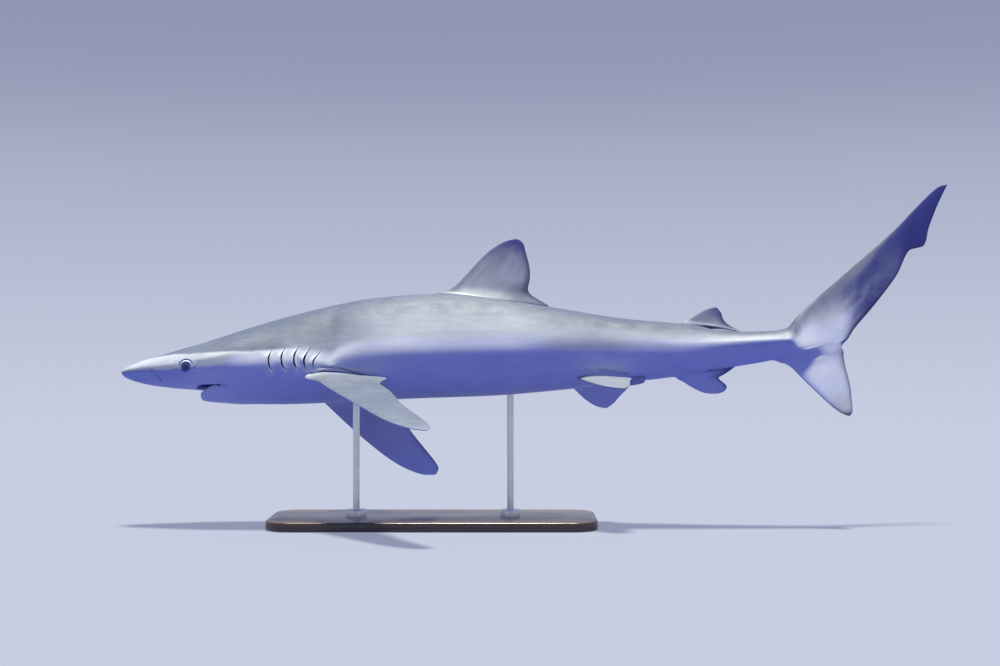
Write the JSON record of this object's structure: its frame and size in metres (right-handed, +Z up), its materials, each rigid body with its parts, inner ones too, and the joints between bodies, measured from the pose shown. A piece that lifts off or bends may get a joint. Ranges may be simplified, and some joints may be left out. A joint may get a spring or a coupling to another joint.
{
  "type": "blue shark",
  "caption": "Life-size still model of a swimming blue shark, banked on a flat display base with rods up to its belly.",
  "frame": {"origin": "middle of the underside of the display stand's base, on the floor", "axes": "+Z up, the shark's snout towards -X and its tail towards +X, its left side towards -Y"},
  "size_m": [1.991, 0.8024, 0.8218],
  "materials": {
    "shark_skin": "satin, slate blue above and pale below",
    "fin_skin": "satin, dusky at the tips",
    "eye": "polished, near black",
    "stand_wood": "dark stain, satin lacquer",
    "stand_steel": "brushed"
  },
  "bodies": {
    "root": {"head": "shark_skin", "lower_jaw": "shark_skin", "trunk": "shark_skin", "tail_stalk": "shark_skin", "first_dorsal_fin": "fin_skin", "second_dorsal_fin": "fin_skin", "anal_fin": "fin_skin", "caudal_upper_lobe": "fin_skin", "caudal_lower_lobe": "fin_skin", "pectoral_fin_left": "fin_skin", "pectoral_fin_right": "fin_skin", "pelvic_fin_left": "fin_skin", "pelvic_fin_right": "fin_skin", "clasper_left": "fin_skin", "clasper_right": "fin_skin", "eye_left": "eye", "eye_right": "eye", "stand_base": "stand_wood", "stand_rod_front": "stand_steel", "stand_rod_rear": "stand_steel", "stand_collar_front": "stand_steel", "stand_collar_rear": "stand_steel"}
  },
  "joints": []
}
